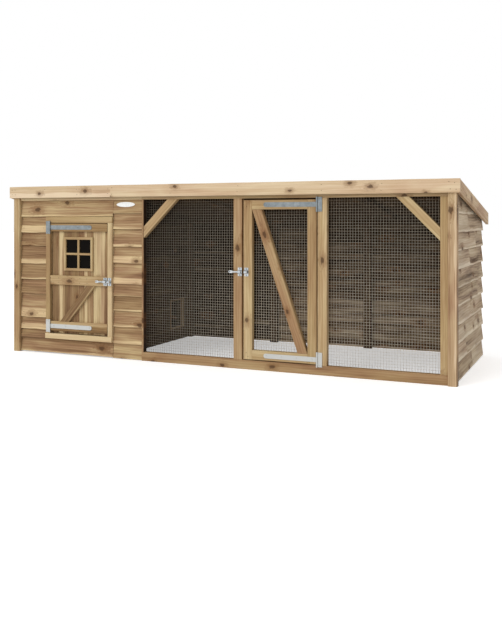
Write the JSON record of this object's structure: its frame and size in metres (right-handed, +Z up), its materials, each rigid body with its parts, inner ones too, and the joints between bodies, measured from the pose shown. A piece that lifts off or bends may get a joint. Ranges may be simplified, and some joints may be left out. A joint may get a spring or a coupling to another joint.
{
  "type": "animal enclosure",
  "caption": "Low timber enclosure: boarded night house with a ledged door and window, joined to a covered mesh run with its own braced door, under a sloping roof.",
  "frame": {"origin": "on the ground, under the middle of the outer box", "axes": "+X along the front to the right, +Y from the front to the back, +Z up"},
  "size_m": [2.368, 0.884, 0.878],
  "materials": {
    "frame_timber": "planed, pressure treated softwood",
    "trim_timber": "planed, pressure treated softwood",
    "lapped_boards": "sawn, pressure treated softwood",
    "inner_timber": "sawn softwood",
    "roofing_felt": "mineral surfaced felt",
    "welded_mesh": "galvanised wire",
    "zinc_hardware": "zinc plated",
    "window_glass": "dark acrylic sheet",
    "white_plate": "bare white plate"
  },
  "bodies": {
    "enclosure": {"front_left_post": "frame_timber", "front_right_post": "frame_timber", "back_posts": "frame_timber", "front_sill": "frame_timber", "front_top_rail": "frame_timber", "run_edge_batten": "frame_timber", "latch_post": "frame_timber", "hinge_post": "frame_timber", "end_stile": "frame_timber", "knee_braces": "frame_timber", "left_run_mesh": "welded_mesh", "right_run_mesh": "welded_mesh", "house_front_boards": "lapped_boards", "narrow_panel_boards": "lapped_boards", "house_top_strip": "frame_timber", "house_front_studs": "inner_timber", "door_jambs": "frame_timber", "door_head": "frame_timber", "door_threshold": "frame_timber", "left_wall_boards": "lapped_boards", "right_wall_boards": "lapped_boards", "back_wall_boards": "lapped_boards", "side_wall_studs": "inner_timber", "back_wall_studs": "inner_timber", "partition_boards": "inner_timber", "partition_studs": "inner_timber", "pop_hole_liner": "inner_timber", "house_floor_boards": "inner_timber", "floor_bearers": "inner_timber", "rafters": "inner_timber", "roof_boards": "inner_timber", "roof_felt": "roofing_felt", "house_fascia": "trim_timber", "run_fascia": "trim_timber", "left_barge_board": "trim_timber", "right_barge_board": "trim_timber", "badge_plate": "white_plate", "hinge_plates": "zinc_hardware", "hinge_pins": "zinc_hardware", "house_bolt_keep": "zinc_hardware", "run_bolt_guide": "zinc_hardware", "frame_screws": "zinc_hardware"},
    "house_door": {"house_door_boards": "lapped_boards", "house_door_ledges": "frame_timber", "house_door_brace": "frame_timber", "window_frame": "frame_timber", "window_muntins": "frame_timber", "window_pane": "window_glass", "house_hinge_straps": "zinc_hardware", "house_bolt_guide": "zinc_hardware", "house_door_screws": "zinc_hardware"},
    "run_door": {"run_door_stiles": "frame_timber", "run_door_rails": "frame_timber", "run_door_brace": "frame_timber", "run_door_mesh": "welded_mesh", "run_hinge_straps": "zinc_hardware", "run_bolt_keep": "zinc_hardware", "run_door_screws": "zinc_hardware"},
    "house_bolt": {"house_bolt_rod": "zinc_hardware"},
    "run_bolt": {"run_bolt_rod": "zinc_hardware"}
  },
  "joints": [
    {"name": "house_door_hinge", "type": "hinge", "parent": "enclosure", "child": "house_door", "pos_m": [-0.9315, -0.429, 0.4], "axis": [0, 0, -1], "range_deg": [0, 165]},
    {"name": "run_door_hinge", "type": "hinge", "parent": "enclosure", "child": "run_door", "pos_m": [0.5445, -0.42, 0.422], "axis": [0, 0, 1], "range_deg": [0, 165]},
    {"name": "house_bolt_slide", "type": "slide", "parent": "house_door", "child": "house_bolt", "axis": [1, 0, 0], "range_m": [0, 0.018]},
    {"name": "run_bolt_slide", "type": "slide", "parent": "enclosure", "child": "run_bolt", "axis": [1, 0, 0], "range_m": [0, 0.018]}
  ]
}
